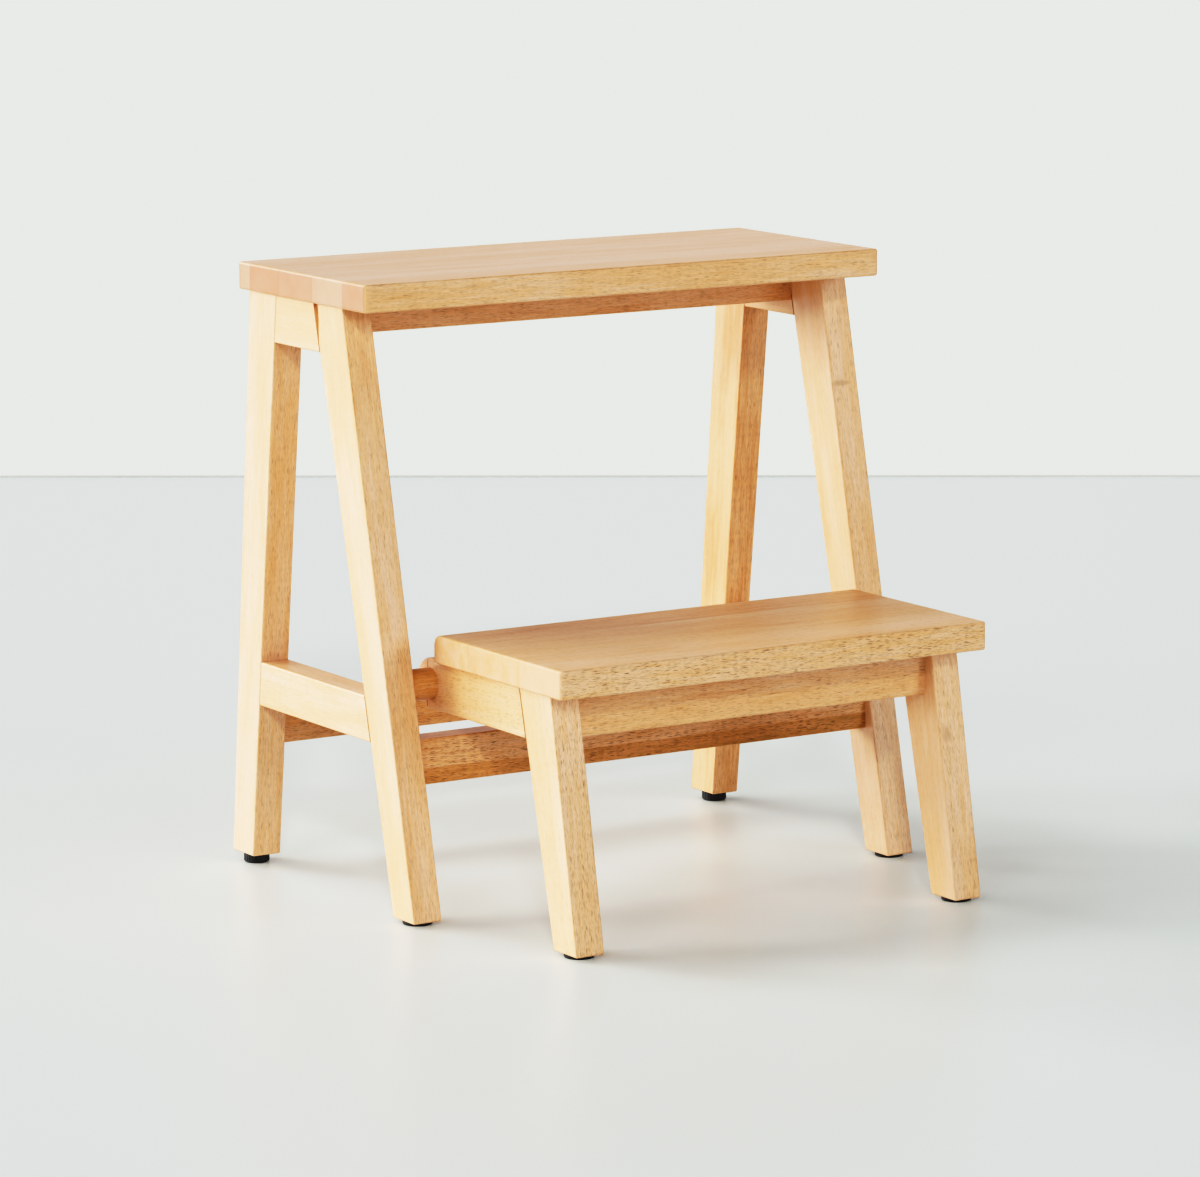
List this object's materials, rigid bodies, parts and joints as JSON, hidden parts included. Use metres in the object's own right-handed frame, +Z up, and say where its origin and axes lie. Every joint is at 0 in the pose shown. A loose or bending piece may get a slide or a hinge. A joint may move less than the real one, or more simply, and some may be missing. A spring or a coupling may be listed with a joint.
{
  "type": "step stool",
  "caption": "Wooden step stool with a high tread and a lower step that flips over on a wooden hinge rod to stow inside the frame.",
  "frame": {"origin": "on the floor at the middle of the footprint, with the lower step down", "axes": "+Z up, -Y towards the person stepping up, +X to that person's right, along the treads and the hinge rod"},
  "size_m": [0.438, 0.413, 0.45],
  "materials": {
    "tread_wood": "satin clear finish on pale pored hardwood",
    "frame_wood": "satin clear finish on pale pored hardwood",
    "step_wood": "satin clear finish on pale pored hardwood",
    "rod_wood": "satin clear finish, a shade darker",
    "dowel_wood": "bare beech",
    "screw_steel": "zinc plated",
    "stud_steel": "zinc plated",
    "insert_brass": "plain",
    "pad_rubber": "matt black",
    "knob_plastic": "matt black, ribbed"
  },
  "bodies": {
    "main_frame": {"top_tread": "tread_wood", "front_leg_left": "frame_wood", "front_leg_right": "frame_wood", "rear_leg_left": "frame_wood", "rear_leg_right": "frame_wood", "upper_side_rail_left": "frame_wood", "upper_side_rail_right": "frame_wood", "lower_side_stretcher_left": "frame_wood", "lower_side_stretcher_right": "frame_wood", "front_leg_pad_left": "pad_rubber", "front_leg_pad_right": "pad_rubber", "rear_foot_insert_left": "insert_brass", "rear_foot_insert_right": "insert_brass", "front_crossrail": "frame_wood", "rear_crossrail": "frame_wood", "front_stretcher": "frame_wood", "rear_stretcher": "frame_wood", "frame_dowels": "dowel_wood", "top_tread_screws": "screw_steel"},
    "lower_step": {"lower_tread": "tread_wood", "step_front_apron": "step_wood", "hinge_rod": "rod_wood", "step_dowels": "dowel_wood", "lower_tread_screws": "screw_steel", "rod_lock_screws": "screw_steel", "step_leg_left": "step_wood", "step_leg_right": "step_wood", "step_side_apron_left": "step_wood", "step_side_apron_right": "step_wood", "step_leg_pad_left": "pad_rubber", "step_leg_pad_right": "pad_rubber"},
    "left_foot_stud": {"rear_foot_stud_left": "stud_steel"},
    "left_foot_knob": {"rear_foot_knob_left": "knob_plastic"},
    "right_foot_stud": {"rear_foot_stud_right": "stud_steel"},
    "right_foot_knob": {"rear_foot_knob_right": "knob_plastic"}
  },
  "joints": [
    {"name": "step_flip", "type": "hinge", "parent": "main_frame", "child": "lower_step", "pos_m": [0, -0.011, 0.16375], "axis": [-1, 0, 0], "range_deg": [0, 180]},
    {"name": "left_foot_travel", "type": "slide", "parent": "main_frame", "child": "left_foot_stud", "axis": [0, 0, -1], "range_m": [0, 0.008]},
    {"name": "left_foot_turn", "type": "hinge", "parent": "left_foot_stud", "child": "left_foot_knob", "pos_m": [-0.2038, 0.19095, 0.004], "axis": [0, 0, -1], "range_deg": [0, 2880]},
    {"name": "right_foot_travel", "type": "slide", "parent": "main_frame", "child": "right_foot_stud", "axis": [0, 0, -1], "range_m": [0, 0.008]},
    {"name": "right_foot_turn", "type": "hinge", "parent": "right_foot_stud", "child": "right_foot_knob", "pos_m": [0.2038, 0.19095, 0.004], "axis": [0, 0, -1], "range_deg": [0, 2880]}
  ],
  "couplings": [
    {"joint": "left_foot_travel", "follows": "left_foot_turn", "m_per_rad": 0.00015915},
    {"joint": "right_foot_travel", "follows": "right_foot_turn", "m_per_rad": 0.00015915}
  ]
}
